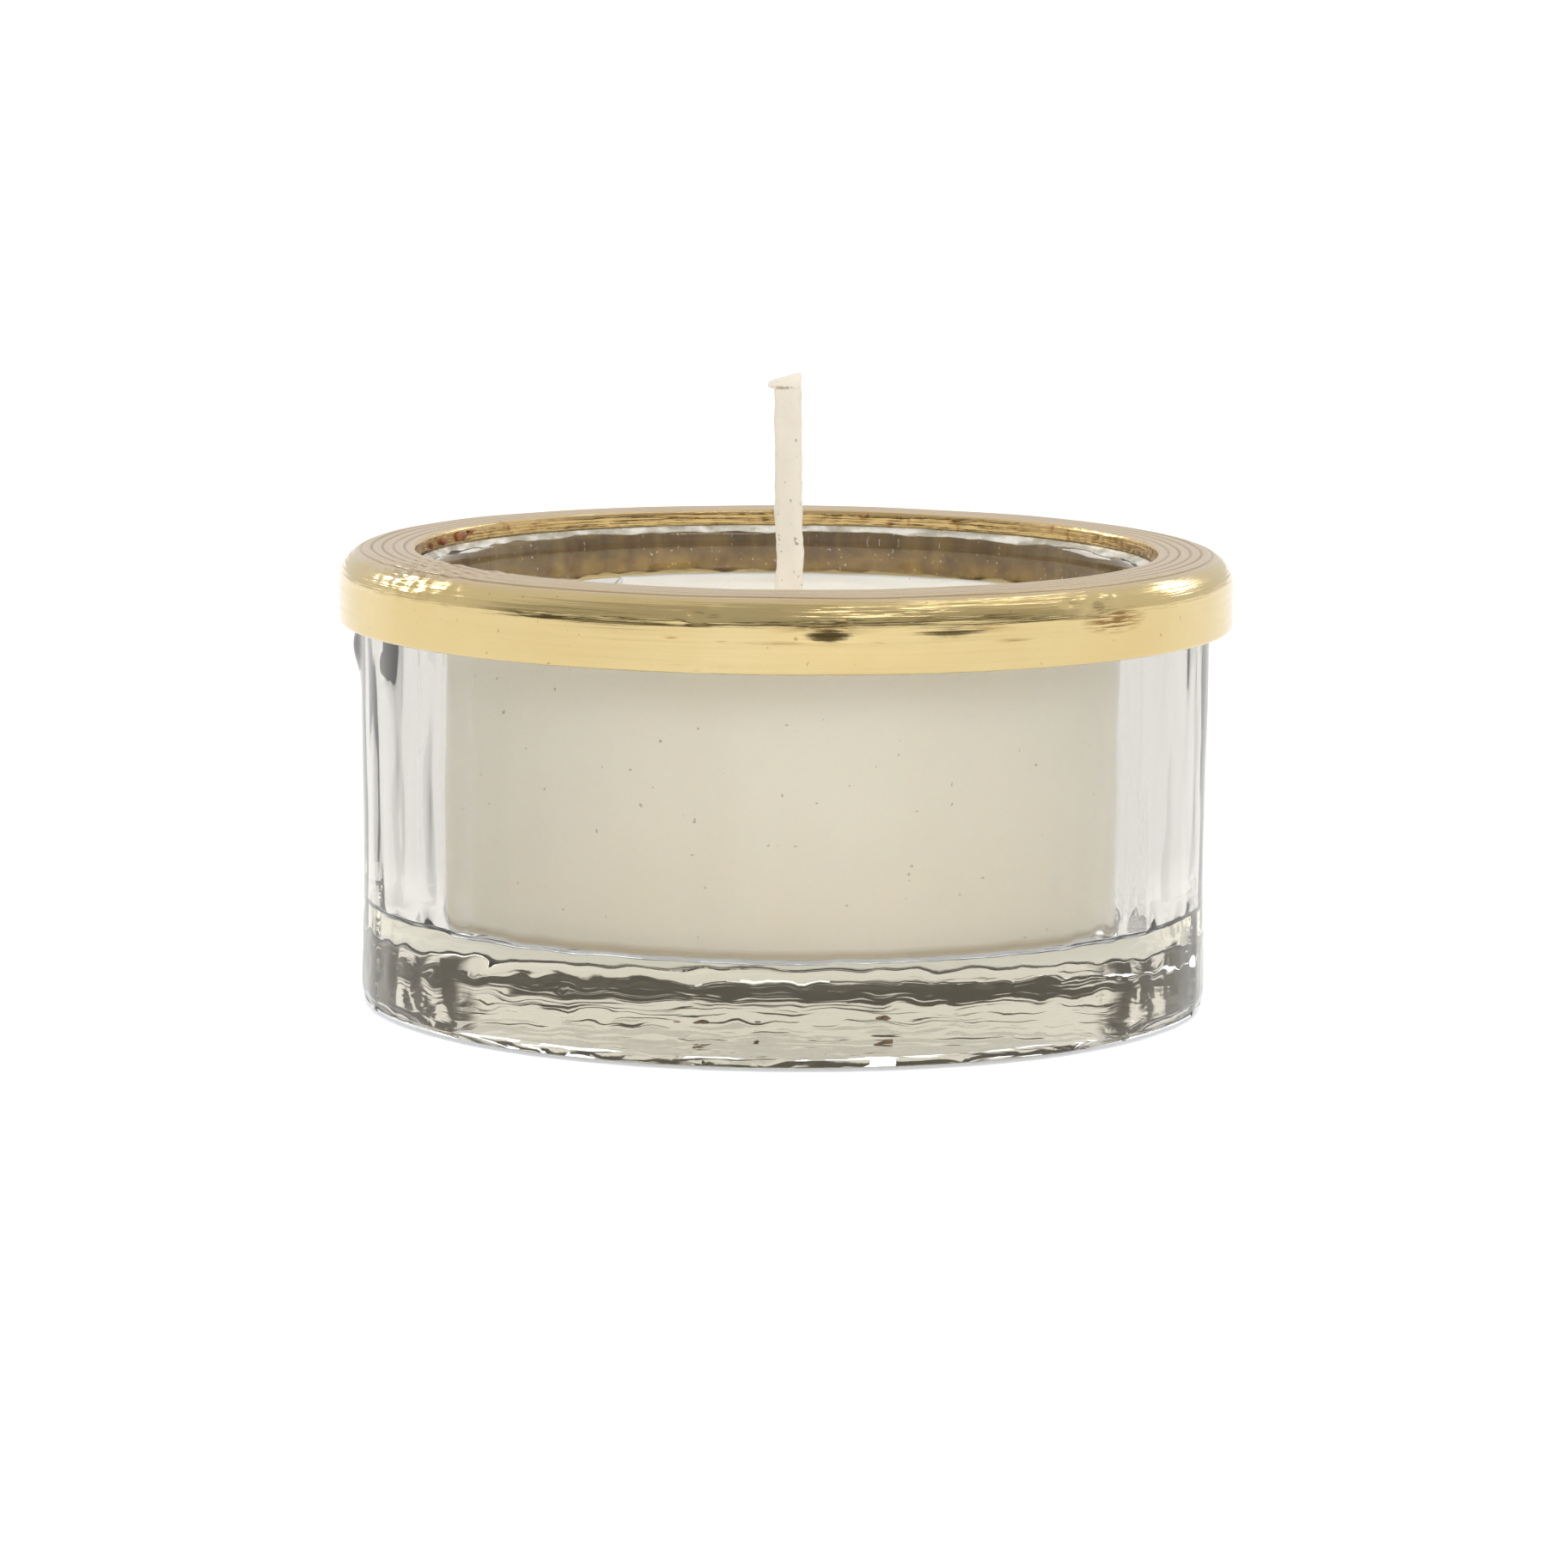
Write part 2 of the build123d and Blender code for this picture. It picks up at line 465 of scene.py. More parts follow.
def brass_material():
    """Spun brass: satin streaks round the rim, a dull pinkish crown, tarnish, worn marks and painted shade
    in the creases of its folds.
    """
    n = Nodes("spun_brass")
    crown = top("brass_rim")
    streaks = n.turned(0.22 * MM, 40.0)
    crown_only = n.height(crown - 0.45 * MM, crown - 0.02 * MM)
    dull = n.times(crown_only, n.range(streaks, 0.3, 0.6, 0.55, 1.0))
    scuff = n.patch(rim_point(45, 1.9 * MM), (2.6 * MM, 3.0 * MM, 0.85 * MM))
    brushed = n.range(n.turned(0.09 * MM, 16.0), 0.43, 0.53)
    scuff = n.times(n.range(scuff, 0.0, 0.7), brushed)
    broad = n.range(n.noise(6 * MM, 3.0), 0.3, 0.7)
    tint = n.blend(broad, (0.655, 0.512, 0.248), (0.69, 0.558, 0.295))
    tint = n.blend(dull, tint, (0.73, 0.60, 0.45))
    tint = wear_and_crease_shade(n, tarnish(n, tint), scuff)
    satin = n.range(n.turned(0.16 * MM, 60.0, 4.0), 0.3, 0.7, 0.10, 0.22)
    satin = n.math("MAXIMUM", satin, n.times(dull, 0.36))
    satin = n.math("MAXIMUM", satin, n.times(scuff, 0.5))
    lines = n.bump(n.turned(0.12 * MM, 80.0, 2.0), 0.006 * MM, 0.4)
    shoulder = n.height(crown - 1.9 * MM, crown - 1.3 * MM)
    pressed = n.bump(n.times(streaks, shoulder), 0.10 * MM, 0.7, lines)
    peel = n.bump(n.noise(0.5 * MM, 2.0), 0.015 * MM, 0.3, pressed)
    n.surface(Base_Color=tint, Metallic=1.0, Roughness=satin, Normal=peel)
    return n.owner


def bond_material():
    """Aged amber adhesive with specks."""
    n = Nodes("aged_adhesive")
    patches = n.range(n.noise(1.3 * MM, 4.0), 0.35, 0.65)
    tone = n.blend(patches, (0.20, 0.11, 0.025), (0.40, 0.25, 0.065))
    specks = n.range(n.noise(0.22 * MM, 1.0), 0.70, 0.76)
    n.surface(
        Base_Color=n.blend(specks, tone, (0.75, 0.66, 0.48)),
        Roughness=n.range(n.noise(0.8 * MM), 0.3, 0.7, 0.3, 0.6),
        Normal=n.bump(n.noise(0.6 * MM, 3.0), 0.05 * MM, 0.6),
    )
    return n.owner


def sealant_material():
    """Clear sealant gone milky, with darker patches."""
    n = Nodes("milky_sealant")
    patches = n.range(n.noise(1.4 * MM, 3.0, (1, 1, 0.4)), 0.38, 0.62)
    n.surface(
        Base_Color=n.blend(patches, (0.40, 0.38, 0.32), (0.74, 0.73, 0.69)),
        Roughness=n.range(n.noise(0.7 * MM), 0.3, 0.7, 0.12, 0.35),
        Normal=n.bump(n.noise(0.5 * MM, 2.0), 0.03 * MM, 0.6),
    )
    return n.owner


def wax_material():
    """Warm white paraffin: translucent, satin, clouded, with painted shade making it darker and warmer
    towards its foot, a painted shadow line along the foot, and a few dust specks.
    """
    n = Nodes("paraffin_wax")
    cloud = n.range(n.noise(9 * MM, 3.0), 0.3, 0.7)
    tone = n.blend(cloud, (0.925, 0.895, 0.81), (0.945, 0.92, 0.845))
    dust = n.range(n.noise(0.30 * MM, 0.0), 0.835, 0.86)
    tone = n.stain(tone, (0.25, 0.20, 0.14), 0.6, dust)
    foot = bottom("wax")
    # Painted shade: the wax darker and warmer over its lowest 12 mm.
    tone = n.stain(tone, (0.78, 0.72, 0.60), 0.5, n.height(foot + 12 * MM, foot))
    # Painted contact shadow: a brown line along the wax's foot.
    tone = n.stain(tone, (0.50, 0.41, 0.25), 0.8, n.height(foot + 0.30 * MM, foot - 0.05 * MM))
    n.surface(
        Base_Color=tone,
        Roughness=n.range(n.noise(2 * MM, 3.0), 0.3, 0.7, 0.38, 0.55),
        IOR=1.44,
        Subsurface_Weight=0.6,
        Subsurface_Radius=(1.0, 0.8, 0.55),
        Subsurface_Scale=2.5 * MM,
        Normal=n.bump(n.noise(1.1 * MM, 3.0), 0.02 * MM, 0.5),
    )
    return n.owner


def wick_material():
    """Waxed cotton: off-white, with small dark pits and a crack below its tip."""
    n = Nodes("waxed_cotton")
    cloud = n.range(n.noise(3 * MM, 3.0), 0.3, 0.7)
    tone = n.blend(cloud, (0.74, 0.70, 0.625), (0.82, 0.78, 0.705))
    pits = n.range(n.noise(0.35 * MM, 1.0), 0.70, 0.76)
    tone = n.stain(tone, (0.25, 0.20, 0.15), 0.7, pits)
    place = (-0.25 * MM, -0.55 * MM, top("wick") - 0.85 * MM)
    crack = n.patch(place, (0.95 * MM, 0.5 * MM, 0.13 * MM))
    crack = n.times(crack, n.range(n.noise(0.25 * MM, 1.0), 0.35, 0.5))
    n.surface(
        Base_Color=n.stain(tone, (0.28, 0.22, 0.16), 0.8, crack),
        Roughness=n.range(n.noise(0.6 * MM), 0.3, 0.7, 0.5, 0.75),
        Subsurface_Weight=0.4,
        Subsurface_Radius=(1.0, 0.8, 0.6),
        Subsurface_Scale=0.6 * MM,
        Normal=n.bump(n.noise(0.25 * MM, 2.0, (1, 1, 2)), 0.03 * MM, 0.6),
    )
    return n.owner


def tin_material():
    """Thin tin-plated steel with rolled grain."""
    n = Nodes("tinned_steel")
    grain = n.noise(0.15 * MM, 3.0, (12, 1, 1))
    n.surface(
        Base_Color=n.blend(n.range(grain, 0.3, 0.7), (0.62, 0.61, 0.58), (0.74, 0.73, 0.70)),
        Metallic=1.0,
        Roughness=n.range(grain, 0.2, 0.8, 0.25, 0.45),
        Normal=n.bump(grain, 0.01 * MM, 0.4),
    )
    return n.owner


def crumb_material(name, dark, light):
    """Small dark matter, mottled between two colours."""
    n = Nodes(name)
    n.surface(
        Base_Color=n.blend(n.range(n.noise(0.3 * MM, 2.0), 0.35, 0.65), dark, light),
        Roughness=n.range(n.noise(0.4 * MM), 0.3, 0.7, 0.3, 0.6),
    )
    return n.owner


# ---------------------------------------------------------------- holder


def glass_outline():
    """Half section of the glass: underside from its middle, wall, lip, pocket and the pocket's floor."""
    outer = radius("glass_cup")
    lip = top("glass_cup")
    floor = bottom("tealight_cup")
    foot_inner = 18.5 * MM
    foot_lift = 0.12 * MM
    rise = 0.41 * MM
    heel = 0.5 * MM
    heel_flat = 0.3
    corner = 0.35 * MM
    pocket = 20.1 * MM
    waist = 0.15 * MM
    waist_height = 8 * MM
    waist_reach = 6.5 * MM
    spacing = 0.33 * MM
    dish = np.linspace(0, 1, 60)[:-1]
    underside = np.column_stack([foot_inner * dish, rise * (1 - dish**2)])
    foot = np.array([[foot_inner, 0], *straight((foot_inner, 0), (outer - heel, 0), spacing)])
    foot[:, 1] = foot_lift * ((foot[:, 0] - foot_inner) / (outer - heel - foot_inner)) ** 2
    heel_arc = arc((outer - heel, heel), heel, -90, 0, 7)
    heel_arc[:, 1] = heel_arc[:, 1] * heel_flat + foot_lift
    wall = straight((outer, heel * heel_flat + foot_lift), (outer, lip - GLASS_LIP_ROUND), spacing)
    wall[:, 0] -= waist * np.exp(-(((wall[:, 1] - waist_height) / waist_reach) ** 2))
    lip_outer = arc((outer - GLASS_LIP_ROUND, lip - GLASS_LIP_ROUND), GLASS_LIP_ROUND, 0, 90, 7)
    lip_inner = arc((POCKET_MOUTH + GLASS_LIP_ROUND, lip - GLASS_LIP_ROUND), GLASS_LIP_ROUND, 90, 180, 7)
    corner_arc = arc((pocket - corner, floor + corner), corner, 0, -90, 10)
    return np.vstack(
        [
            underside,
            foot,
            heel_arc,
            wall,
            lip_outer,
            straight(lip_outer[-1], lip_inner[0], spacing),
            lip_inner,
            straight(lip_inner[-1], corner_arc[0], spacing),
            corner_arc,
            straight(corner_arc[-1], (0, floor), 0.45 * MM),
            [(0, floor)],
        ]
    )


def wall_waves(r, z, a, out, ripple):
    """Flutes and ripples of the wall below the brass, outside and inside, in millimetres."""
    below_brass = step(bottom("brass_rim") + 0.5 * MM - z, -1 * MM, 0.5 * MM)
    tall = around(r, z, a, 14)
    fine = rough(around(r, z, a, 5), 0.9 * MM, 5.3)
    near_foot = np.exp(-(((z - 2.5 * MM) / (3 * MM)) ** 2))
    outer = 0.07 * rough(tall, 9 * MM, 3.1) + 0.065 * rough(tall, 2.2 * MM, 11.7)
    outer = outer + 0.012 * fine + 0.03 * near_foot * ripple
    inner = 0.09 * rough(tall, 6 * MM, 33.0) + 0.05 * rough(tall, 1.8 * MM, 41.0) + 0.012 * fine
    return below_brass * (step(out, 0.5, 0.9) * outer + step(-out, 0.5, 0.9) * inner)


def underside_waves(r, z, a, up, ripple):
    """Wrinkles of the underside, with swirls and dimples towards the front, in millimetres."""
    under = step(-up, 0.5, 0.9) * step(bottom("tealight_cup") - z, 1 * MM, 3 * MM)
    off_heel = step(23.2 * MM - r, 0, 1 * MM)
    space = around(r, z, a)
    wrinkles = rough(space, 3.4 * MM, 21.3, 2)
    drawn_out = np.stack([space[..., 0] / 2.2, space[..., 1], space[..., 2]], -1)
    swirls = rough(drawn_out, 1.3 * MM, 63.0, 1) * step(-space[..., 1], -3 * MM, 7 * MM)
    waves = off_heel * (0.028 * wrinkles + 0.007 * ripple + 0.030 * swirls)
    for x, y, reach, height in PITS:
        gap = (space[..., 0] - x * MM) ** 2 + (space[..., 1] - y * MM) ** 2
        waves = waves + height * np.exp(-gap / (reach * MM) ** 2)
    return under * waves


def pocket_waves(r, z, a, up, ripple):
    """Unevenness of the pocket's floor and of the corner round it, in millimetres."""
    floor = bottom("tealight_cup")
    low_down = step(floor + 2 * MM - z, 0, 1 * MM)
    flat = step(up, 0.5, 0.9) * step(radius("glass_cup") - 3 * MM - r, -1 * MM, 0.5 * MM) * low_down
    corner = np.exp(-(((z - floor) / (1.0 * MM)) ** 2)) * step(r, 18.8 * MM, 19.8 * MM) * (r < 21 * MM)
    return 0.12 * corner * rough(around(r, z, a), 2.6 * MM, 55.0, 1) - 0.02 * flat * np.abs(ripple)


def glass_relief(r, z, a, out, up):
    """How the moulded glass departs from a turned shape: waves, a worn heel at both ends and a blister."""
    outer = radius("glass_cup")
    ripple = rough(around(r, z, a), 1.5 * MM, 8.9, 1)
    waves = wall_waves(r, z, a, out, ripple) + underside_waves(r, z, a, up, ripple)
    waves = waves + pocket_waves(r, z, a, up, ripple)
    ends = step(np.abs(np.cos(a)), 0.6, 0.9) * step(r, outer - 1.0 * MM, outer - 0.3 * MM)
    worn = 0.22 * ends * np.exp(-(((z - 0.25 * MM) / (0.45 * MM)) ** 2))
    blister = 0.5 * bump_at(a, z, LEFT + 0.04, 20.4 * MM, 0.05, 1.5 * MM) * step(out, 0.5, 0.9)
    return (waves - worn + blister) * MM


def glass_cup():
    body = lathe("glass_body", glass_outline(), turns=384, relief=glass_relief)
    body.data.materials.append(glass_material())
    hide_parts("glass_cup")
    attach(body, "holder")


def rim_outline():
    """Closed section of the brass rim, a rounded channel open downwards."""
    outer = radius("brass_rim")
    crown = top("brass_rim")
    skirt = bottom("brass_rim")
    lip = top("glass_cup")
    opening = rim_opening()
    inner = opening + RIM_SHEET
    under = crown - RIM_SHEET
    shoulder = 1.8 * MM
    edge = 0.25 * MM
    hem = 0.2 * MM
    spacing = 0.06 * MM
    hem_outer = arc((outer - hem, skirt + hem), hem, -90, 0, 5)
    shoulder_arc = arc((outer - shoulder, crown - shoulder), shoulder, 0, 90, 28)
    edge_arc = arc((opening + edge, crown - edge), edge, 90, 180, 6)
    inner_shoulder = arc((outer - shoulder, crown - shoulder), shoulder - RIM_SHEET, 90, 0, 10)
    return np.vstack(
        [
            hem_outer,
            straight(hem_outer[-1], shoulder_arc[0], spacing * 2.5),
            shoulder_arc,
            straight(shoulder_arc[-1], edge_arc[0], spacing),
            edge_arc,
            straight(edge_arc[-1], (opening, lip), spacing * 1.5),
            [(opening, lip), (inner, lip)],
            straight((inner, lip), (inner, under), spacing * 4),
            [(inner, under)],
            straight((inner, under), inner_shoulder[0], spacing * 10),
            inner_shoulder,
            straight(inner_shoulder[-1], (outer - RIM_SHEET, skirt), spacing * 8),
            [(outer - RIM_SHEET, skirt)],
        ]
    )


def ribbing(r, z, a, up):
    """Depth of the turned grooves in the rim's upper face, in millimetres."""
    outer = radius("brass_rim")
    crown = top("brass_rim")
    opening = rim_opening()
    upper = step(z, crown - 0.55 * MM, crown - 0.3 * MM) * step(up, -0.05, 0.25)
    between = step(r, opening + 0.35 * MM, opening + 0.5 * MM) * step(outer - 0.5 * MM - r, 0, 0.3 * MM)
    ribs = (r - opening) / RIB_PITCH
    grooves = np.exp(-(((ribs - np.round(ribs)) / 0.16) ** 2))
    worn = 0.75 + 0.5 * rough(around(r, z, a), 5 * MM, 4.4)
    return 0.09 * upper * between * grooves * worn


def creases(r, z, a):
    """Dents and crimps on the outer faces of the rim, in millimetres."""
    crown = top("brass_rim")
    height = 0 * r
    for angle, depth, wide, tall, amount in DENTS:
        height = height + amount * bump_at(a, z, FRONT + angle, crown - depth * MM, wide, tall * MM)
    crimps = rough(around(r, z, a, 0.6), 1.1 * MM, 14.2, 1)
    unrolled = np.stack([a * 24 * MM + 0.7 * r, 0.35 * r, z], -1)
    folds = 1 - 2 * np.abs(rough(unrolled, 1.5 * MM, 23.0))
    left_patch = bump_at(a, z, FRONT - 0.98, crown - 0.4 * MM, 0.21, 0.9 * MM)
    right_patch = bump_at(a, z, FRONT + 0.75, crown - 0.9 * MM, 0.10, 0.7 * MM)
    return height + left_patch * (0.09 * crimps + 0.10 * folds) + 0.08 * right_patch * crimps


def rim_relief(r, z, a, out, up):
    """Grooves, dents and crimps pressed into the brass, and its slight waviness."""
    outside = step(out + up, 0.2, 0.8)
    inside = step(-out, 0.5, 0.9) * step(rim_opening() + 0.2 * MM - r, 0, 0.1 * MM)
    waves = 0.03 * rough(around(r, z, a, 0.5), 5 * MM, 6.1)
    pebbled = 0.03 * rough(around(r, z, a), 0.45 * MM, 9.4, 1)
    push = outside * (waves + creases(r, z, a)) + inside * pebbled - ribbing(r, z, a, up)
    return push * MM


def brass_rim():
    rim = lathe("rim_metal", rim_outline(), turns=660, relief=rim_relief, closed=True)
    rim.data.materials.append(brass_material())
    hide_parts("brass_rim")
    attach(rim, "holder")


def bond_outline():
    """Closed section of the adhesive, a hair clear of the brass and of the glass."""
    clear = 0.03 * MM
    shoulder = 1.2 * MM
    spacing = 0.2 * MM
    bond_outer = radius("rim_bond")
    outer = bond_outer - clear
    low = bottom("rim_bond")
    high = top("rim_bond")
    glass = radius("glass_cup")
    lip = top("glass_cup")
    inner = rim_opening() + RIM_SHEET + clear
    glass_side = arc((glass - GLASS_LIP_ROUND, lip - GLASS_LIP_ROUND), GLASS_LIP_ROUND + clear, 90, 0, 8)
    return np.vstack(
        [
            [(glass + clear, low)],
            straight((glass + clear, low), (outer, low), spacing),
            [(outer, low)],
            straight((outer, low), (outer, high - shoulder), spacing),
            arc((bond_outer - shoulder, high - shoulder), shoulder - clear, 0, 90, 8),
            straight((bond_outer - shoulder, high - clear), (inner, high - clear), spacing),
            [(inner, high - clear), (inner, lip + clear)],
            straight((inner, lip + clear), glass_side[0], spacing),
            glass_side,
            straight(glass_side[-1], (glass + clear, low), spacing),
        ]
    )


def rim_bond():
    """Adhesive that fills the channel, with a ragged lower edge."""
    low = bottom("rim_bond")

    def ragged(r, z, a, out, up):
        edge = step(low + 0.5 * MM - z, 0, 0.4 * MM) * step(-up, 0.3, 0.8)
        return edge * 0.25 * MM * rough(around(r, z, a), 1.3 * MM, 71.0, 1)

    bond = lathe("rim_adhesive", bond_outline(), turns=300, relief=ragged, closed=True)
    bond.data.materials.append(bond_material())
    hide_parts("rim_bond")
    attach(bond, "holder")


def lip_bead():
    """Thin bead of sealant along the glass lip under the brass, with a ragged lower edge."""
    centre = (POCKET_MOUTH + GLASS_LIP_ROUND, top("glass_cup") - GLASS_LIP_ROUND)
    turns = 540
    steps = 7
    start = 109
    mesh = bmesh.new()
    rings = []
    for i in range(turns):
        turn = 2 * math.pi * i / turns
        spot = Vector((math.cos(turn), math.sin(turn), 0)) * 21 * MM
        end = 141 + 13 * noise.fractal(spot / (2.6 * MM), 1.0, 2.0, 3)
        shell = arc(centre, GLASS_LIP_ROUND + 0.045 * MM, start, end, steps)
        core = arc(centre, GLASS_LIP_ROUND + 0.006 * MM, end, start, steps)
        section = np.vstack([shell, core])
        rings.append([mesh.verts.new((r * math.cos(turn), r * math.sin(turn), z)) for r, z in section])
    bridge(mesh, rings, closed=True)
    bead = finished("lip_bead", mesh)
    bead.data.materials.append(sealant_material())
    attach(bead, "holder")


def crumbs(name, spots, flat, material):
    """Small rough lumps; each spot is x, y, height and length in millimetres."""
    mesh = bmesh.new()
    for x, y, height, length in spots:
        place = Matrix.Translation(Vector((x, y, height)) * MM)
        shape = Matrix.Diagonal((length * 0.5 * MM, length * 0.35 * MM, length * flat * MM, 1))
        made = bmesh.ops.create_icosphere(mesh, subdivisions=3, radius=1.0, matrix=place @ shape)
        for vert in made["verts"]:
            vert.co += 0.12 * MM * length * noise.noise_vector(vert.co / (0.35 * MM))
    lumps = finished(name, mesh)
    lumps.data.materials.append(material)
    return lumps


def inclusions():
    """Brown specks trapped in the glass near its underside, in front."""
    material = crumb_material("glass_stones", (0.10, 0.055, 0.015), (0.45, 0.24, 0.05))
    stones = crumbs("glass_stones", STONES, 0.13, material)
    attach(stones, "holder")


def residue():
    """Dried adhesive on the inner edge of the rim, at the left."""
    material = crumb_material("dried_adhesive", (0.13, 0.045, 0.02), (0.36, 0.15, 0.07))
    lumps = crumbs("dried_adhesive", CRUMBS, 0.42, material)
    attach(lumps, "holder")


# ---------------------------------------------------------------- tealight


def tealight_cup():
    """Thin clear cup with a rolled lip just under the wax's edge."""
    low = bottom("tealight_cup")
    high = top("wax") - 0.45 * MM
    lip = radius("tealight_cup")
    outer = lip - 0.35 * MM
    inner = outer - CUP_WALL
    floor = low + 0.4 * MM
    corner = 0.25 * MM
    inner_corner = 0.2 * MM
    roll = 0.17 * MM
    spacing = 0.3 * MM
    outline = np.vstack(
        [
            [(0, low)],
            straight((0, low), (outer - corner, low), 0.6 * MM),
            arc((outer - corner, low + corner), corner, -90, 0, 8),
            straight((outer, low + corner), (outer, high - 2 * roll), spacing),
            arc((lip - roll, high - roll), roll, -90, 90, 8),
            straight((lip - roll, high), (inner + 0.1 * MM, high), 0.15 * MM),
            [(inner, high - 0.1 * MM)],
            straight((inner, high - 0.1 * MM), (inner, floor + inner_corner), spacing),
            arc((inner - inner_corner, floor + inner_corner), inner_corner, 0, -90, 8),
            straight((inner - inner_corner, floor), (0, floor), 0.6 * MM),
            [(0, floor)],
        ]
    )

    def drawn(r, z, a, out, up):
        return step(np.abs(out), 0.5, 0.9) * 0.012 * MM * rough(around(r, z, a, 20), 2.5 * MM, 91.0)

    cup = lathe("tealight_clear_cup", outline, turns=256, relief=drawn)
    cup.data.materials.append(plastic_material())
    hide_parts("tealight_cup")
    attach(cup, "tealight")


def wax():
    """Poured wax with a meniscus at the cup wall, a rise round the wick and a chip at the back left."""
    high = top("wax")
    foot = bottom("wax") - 0.37 * MM
    rim = radius("wax") + 0.1 * MM
    corner = 0.15 * MM
    climb = 0.25 * MM
    across = np.linspace(0, 1, 70)[1:-1]
    meniscus = climb * np.exp(-across * rim / (0.6 * MM)) - climb * 0.3
    edge = high + climb * 0.7
    outline = np.vstack(
        [
            [(0, foot)],
            straight((0, foot), (rim - corner, foot), 0.7 * MM),
            arc((rim - corner, foot + corner), corner, -90, 0, 8),
            straight((rim, foot + corner), (rim, edge), 0.4 * MM),
            [(rim, edge)],
            np.column_stack([rim * (1 - across), high + meniscus]),
            [(0, high)],
        ]
    )

    def poured(r, z, a, out, up):
        upward = step(up, 0.3, 0.8) * step(z, high - 1 * MM, high - 0.5 * MM)
        turn = np.degrees(np.angle(np.exp(1j * (a - BACK))))
        chip = step(turn, 31.5, 32.5) * step(72 - turn, 0, 8) * step(r, rim - 4.6 * MM, rim - 3.6 * MM)
        ripples = 0.05 * rough(around(r, z, a), 3 * MM, 101.0, 1)
        collar = 0.25 * np.exp(-((r / (1.6 * MM)) ** 2))
        return MM * upward * (ripples + collar - 0.95 * chip)

    fill = lathe("wax_fill", outline, turns=256, relief=poured)
    fill.data.materials.append(wax_material())
    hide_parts("wax")
    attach(fill, "tealight")


def wick_ring(height):
    """The wick's outline at one height: a soft rectangle that spreads to the left and slants at the tip."""
    low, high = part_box("wick")
    surface = top("wax")
    thick = high.y - low.y
    up = (height - surface) / (high.z - surface)
    neck = high.z - WICK_TIP
    tip = (height - neck) / (high.z - neck)
    kink = math.exp(-(((height - surface - 3.2 * MM) / (1.1 * MM)) ** 2))
    lean = 0.15 * MM * (1 - up) + 0.10 * MM * kink
    half_x = WICK_WIDTH / 2 * (1 + 0.05 * noise.noise(Vector((height / (1.3 * MM), 0, 4))))
    half_y = thick / 2 * (1 + 0.05 * noise.noise(Vector((height / (1.1 * MM), 9, 4))))
    ring = []
    for i in range(WICK_SIDES):
        angle = 2 * math.pi * i / WICK_SIDES
        c = math.cos(angle)
        s = math.sin(angle)
        x = math.copysign(abs(c) ** 0.5, c) * half_x
        y = math.copysign(abs(s) ** 0.5, s) * half_y
        z = height
        if tip > 0:
            x -= 0.4 * MM * math.sin(min(tip * 3, 1) * math.pi / 2) * max(0, -c) ** 0.7
            y *= 1 - 0.25 * tip**2
            z -= 0.42 * MM * tip * (0.5 - x / WICK_WIDTH)
            x *= 1 - 0.10 * tip**6
        lump = 0.05 * MM * noise.noise(Vector((x, y, z)) / (0.55 * MM) + Vector((5, 5, 5)))
        ring.append((x + c * lump + lean, y + s * lump, z))
    return ring


def wick():
    """Stiff waxed wick with a slight kink and a pinched, cut tip."""
    end = top("wick")
    neck = end - WICK_TIP
    heights = [*np.arange(top("wax") - 1 * MM, neck, 0.12 * MM), *np.linspace(neck, end, 12)]
    mesh = bmesh.new()
    rings = [[mesh.verts.new(point) for point in wick_ring(height)] for height in heights]
    bridge(mesh, rings, closed=False)
    mesh.faces.new(rings[0][::-1])
    mesh.faces.new(rings[-1])
    braid = finished("wick_braid", mesh)
    braid.data.materials.append(wick_material())
    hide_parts("wick")
    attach(braid, "tealight")


def wick_sustainer():
    """The part's own disc and collar, in tinned steel."""
    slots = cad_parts["wick_sustainer"].data.materials
    slots.clear()
    slots.append(tin_material())


# ---------------------------------------------------------------- stage


def floor():
    """Pale floor that reaches the horizon and glows faintly, with a painted glow under the glass foot;
    through glass it shows painted shade and looks darker.
    """
    mesh = bmesh.new()
    bmesh.ops.create_circle(mesh, cap_ends=True, segments=96, radius=4.0)
    ground = finished("floor", mesh)
    n = Nodes("pale_floor")
    tone = n.blend(n.range(n.noise(0.4, 2.0), 0.3, 0.7), (0.90, 0.90, 0.895), (0.93, 0.93, 0.925))
    reach = n.reach()
    # Painted light: the floor glows under and just round the glass foot, lighting the base from below and
    # hiding the contact shadow.
    below = n.range(reach, 22 * MM, 36 * MM, 0.30, 0.0)
    beyond = n.range(reach, 0.25, 1.4, 0.16, 0.60)
    refracted = n.add("ShaderNodeLightPath").outputs["Is Transmission Ray"]
    shade = n.times(refracted, n.range(reach, 45 * MM, 65 * MM, 0.22, 0.38))
    n.surface(
        Base_Color=n.blend(shade, tone, (0.10, 0.095, 0.075)),
        Roughness=0.9,
        Emission_Color=(0.95, 1.0, 1.09),
        Emission_Strength=n.times(n.math("ADD", below, beyond), n.math("SUBTRACT", 1.0, shade)),
    )
    ground.data.materials.append(n.owner)


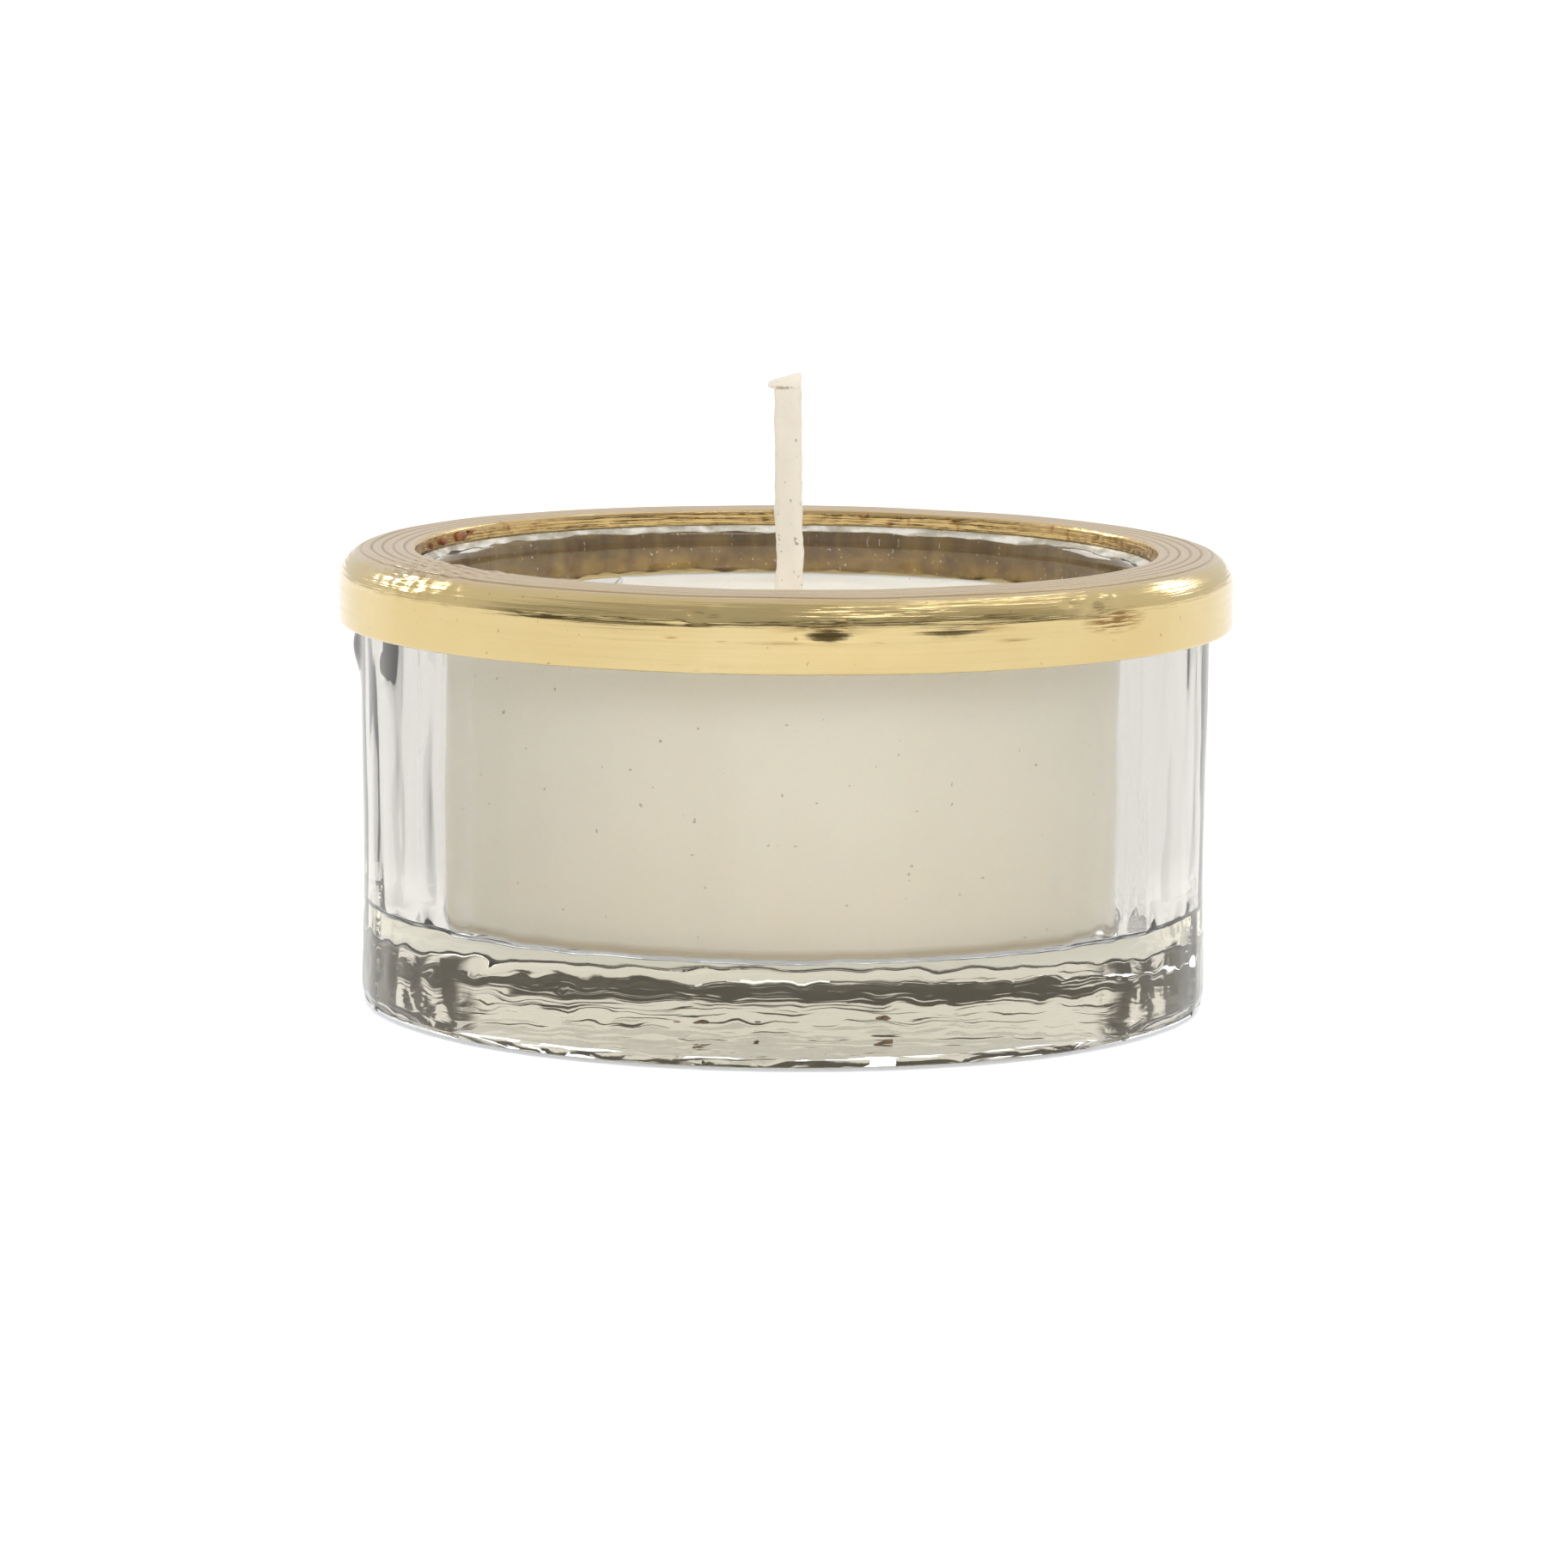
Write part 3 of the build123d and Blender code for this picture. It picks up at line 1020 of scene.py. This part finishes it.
def studio():
    """Light tent. The camera sees plain white round the object.

    A ray that has come through glass sees a bright backdrop and panels over a dark horizon, and a ceiling.
    Any other ray, such as a reflection in the brass, sees a soft ceiling, and brighter sides and back.
    """
    n = Nodes("studio", world=True)
    bpy.context.scene.world = n.owner
    x, y, z = n.parts()
    ahead = n.math("DIVIDE", y, n.reach())

    def within(angle, margin):
        """1 where the azimuth is nearer to +Y than an angle in degrees, fading over the margin."""
        far = math.cos(math.radians(angle + margin))
        near = math.cos(math.radians(angle - margin))
        return n.range(ahead, far, near, smooth=True)

    def above(low, high):
        """0 at one elevation and 1 at the other, in degrees, and level beyond both."""
        return n.range(z, math.sin(math.radians(low)), math.sin(math.radians(high)), smooth=True)

    def sector(near, far):
        """1 where the azimuth from +Y lies between two angles, in degrees, on either side."""
        return n.math("SUBTRACT", within(far, 1), within(near, 1))

    over_horizon = above(7.2, 9.5)
    beside = n.math("MAXIMUM", sector(43, 46.5), sector(51, 56))
    panels = n.times(beside, n.times(over_horizon, above(34, 30)))
    backdrop = n.math("MAXIMUM", n.times(within(37, 2), over_horizon), panels)
    through_glass = n.math("MAXIMUM", backdrop, n.times(above(13, 24), 0.50))
    sides = n.range(ahead, -0.45, 0.05, smooth=True)
    on_metal = n.math("MAXIMUM", n.times(above(9, 19), 0.455), n.times(sides, 0.72))
    rays = n.add("ShaderNodeLightPath").outputs
    bright = n.add("ShaderNodeMix", data_type="FLOAT")
    for index, value in ((0, rays["Is Transmission Ray"]), (2, on_metal), (3, through_glass)):
        n.fill(bright.inputs[index], value)
    sky = n.add("ShaderNodeBackground")
    n.link(n.blend(bright.outputs[0], (0.085, 0.073, 0.045), (1.10, 1.075, 1.03)), sky.inputs["Color"])
    plain = n.set(n.add("ShaderNodeBackground"), Color=(1, 1, 1))
    mixed = n.add("ShaderNodeMixShader")
    for index, value in enumerate((rays["Is Camera Ray"], sky.outputs[0], plain.outputs[0])):
        n.link(value, mixed.inputs[index])
    n.link(mixed.outputs[0], n.output.inputs["Surface"])


def softbox(name, place, size, brightness, reflected=True):
    """A rectangular soft light aimed at the object; brightness is what its face would look like."""
    light = bpy.data.lights.new(name, "AREA")
    light.shape = "RECTANGLE"
    light.size = size[0]
    light.size_y = size[1]
    light.energy = brightness * math.pi * size[0] * size[1]
    light.color = (1.0, 0.985, 0.96)
    lamp = bpy.data.objects.new(name, light)
    bpy.context.scene.collection.objects.link(lamp)
    lamp.location = place
    lamp.rotation_euler = (-Vector(place)).to_track_quat("-Z", "Y").to_euler()
    lamp.visible_glossy = reflected


def softboxes():
    softbox("left_softbox", (-0.73, 0.60, 0.50), (0.30, 0.36), 5.0)
    softbox("right_softbox", (0.62, 0.65, 0.46), (0.24, 0.20), 4.5)
    softbox("high_softbox", (0.42, 0.26, 0.90), (0.12, 0.45), 2.2)
    softbox("shoulder_strip", (0.34, -0.50, 1.04), (0.50, 0.06), 9.0)
    softbox("top_fill", (0, -0.3, 1.5), (1.2, 1.2), 1.0, reflected=False)
    softbox("front_fill", (0.15, -1.2, 0.5), (1.2, 0.6), 3.1, reflected=False)


def camera():
    """Low front view, a little above the rim, rolled by half a degree."""
    aim = Vector((-0.03 * MM, 0, 12.4 * MM))
    distance = 0.42
    rise = math.radians(7.95)
    roll = math.radians(0.5)
    view_width = 89.65 * MM
    data = bpy.data.cameras.new("camera")
    data.sensor_width = 36
    data.lens = data.sensor_width * distance / view_width
    data.clip_start = 0.01
    lens = bpy.data.objects.new("camera", data)
    bpy.context.scene.collection.objects.link(lens)
    lens.location = aim + distance * Vector((0, -math.cos(rise), math.sin(rise)))
    look = (aim - lens.location).to_track_quat("-Z", "Y").to_matrix().to_4x4()
    lens.matrix_world = Matrix.Translation(lens.location) @ look @ Matrix.Rotation(roll, 4, "Z")
    bpy.context.scene.camera = lens


def light_paths():
    """Sharp glass after diffuse bounces, and enough bounces for light to leave the wax through glass."""
    cycles = bpy.context.scene.cycles
    cycles.blur_glossy = 0.0
    cycles.max_bounces = 20
    cycles.transmission_bounces = 20
    cycles.diffuse_bounces = 8


# The crumbs' vector noise would differ from run to run without a seed
noise.seed_set(7)
camera()
floor()
studio()
softboxes()
glass_cup()
brass_rim()
rim_bond()
lip_bead()
inclusions()
residue()
tealight_cup()
wax()
wick()
wick_sustainer()
bpy.context.scene.view_settings.view_transform = "Standard"
light_paths()
